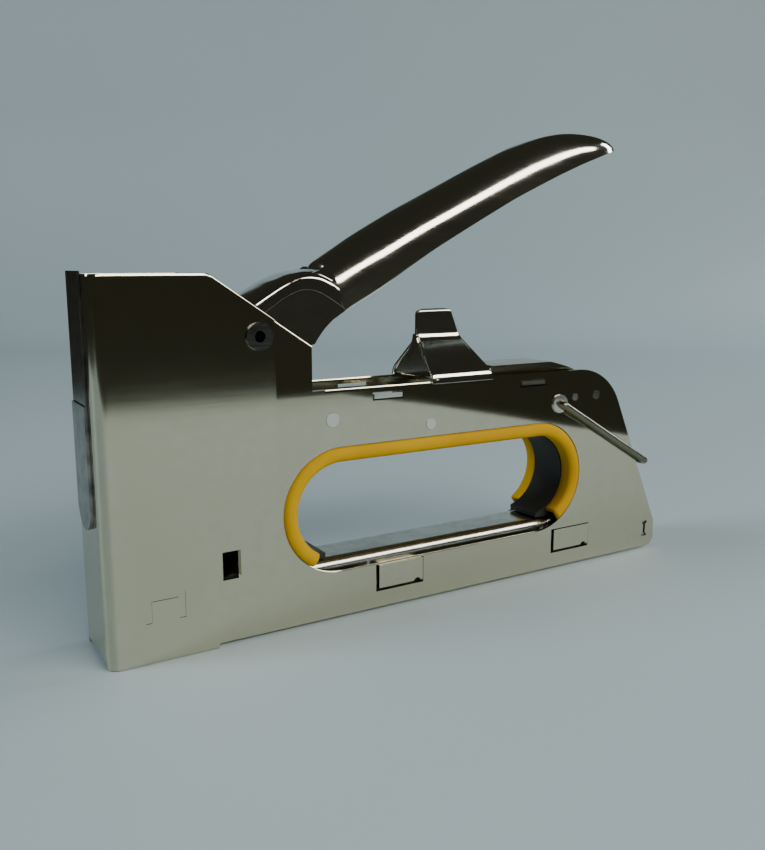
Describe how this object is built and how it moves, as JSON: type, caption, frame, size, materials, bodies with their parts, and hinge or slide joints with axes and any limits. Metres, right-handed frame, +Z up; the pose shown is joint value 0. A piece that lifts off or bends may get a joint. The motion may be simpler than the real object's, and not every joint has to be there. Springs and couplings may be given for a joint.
{
  "type": "hand staple gun",
  "caption": "Sheet metal hand staple gun: squeeze handle lifts a spring driven striker, rear loading magazine, finger hole with coloured trim, wire handle lock.",
  "frame": {"origin": "the staple outlet, in the middle of the nose's lower end, at the level the tool stands on", "axes": "+X from the nose to the rear end, +Y across the tool, +Z up; the handle squeezes down about +Y"},
  "size_m": [0.1763, 0.0246, 0.1279],
  "materials": {
    "nickel_sheet": "satin nickel plated pressed sheet, slightly warm",
    "chrome": "bright chrome plate",
    "dark_steel": "dark plated steel, oiled",
    "spring_steel": "drawn spring wire",
    "yellow_trim": "soft mustard yellow moulding",
    "black_grip": "matt black moulding",
    "bumper_rubber": "black rubber"
  },
  "bodies": {
    "body": {"left_shell": "nickel_sheet", "right_shell": "nickel_sheet", "nose_sleeve": "nickel_sheet", "nose_cap": "nickel_sheet", "front_plate": "dark_steel", "front_cover": "dark_steel", "blade_guide": "dark_steel", "driver_bumper": "bumper_rubber", "handle_pivot": "dark_steel", "power_spring": "spring_steel", "deck_plate": "chrome", "handle_stop": "chrome", "back_cover": "nickel_sheet", "magazine_housing": "chrome", "rail_clips": "nickel_sheet", "staple_core": "dark_steel", "grip_trim_left": "yellow_trim", "grip_trim_right": "yellow_trim", "grip_liner": "black_grip", "shell_rivets": "chrome", "bail_eyelets": "chrome"},
    "handle": {"lever_arm": "chrome", "grip_cover": "chrome"},
    "driver": {"driver_blade": "dark_steel", "driver_carrier": "dark_steel"},
    "follower": {"pusher_rod": "spring_steel", "magazine_catch": "dark_steel", "pusher_spring": "spring_steel"},
    "pusher": {"pusher": "dark_steel"},
    "lock": {"wire_bail": "chrome"}
  },
  "joints": [
    {"name": "handle_hinge", "type": "hinge", "parent": "body", "child": "handle", "pos_m": [0.036, 0, 0.074], "axis": [0, 1, 0], "range_deg": [0, 26], "stiffness_Nm_per_rad": 5, "springref_deg": -8.59},
    {"name": "driver_slide", "type": "slide", "parent": "body", "child": "driver", "axis": [0, 0, 1], "range_m": [0, 0.01418], "deforming": ["power_spring"]},
    {"name": "magazine_slide", "type": "slide", "parent": "body", "child": "follower", "axis": [1, 0, 0], "range_m": [0, 0.12]},
    {"name": "pusher_slide", "type": "slide", "parent": "follower", "child": "pusher", "axis": [1, 0, 0], "range_m": [0, 0.11], "stiffness_N_per_m": 60, "springref_m": -0.04, "deforming": ["pusher_spring"]},
    {"name": "lock_hinge", "type": "hinge", "parent": "body", "child": "lock", "pos_m": [0.1305, 0, 0.0505], "axis": [0, -1, 0], "range_deg": [0, 90]}
  ],
  "couplings": [
    {"joint": "driver_slide", "follows": "handle_hinge", "m_per_rad": 0.030804}
  ]
}
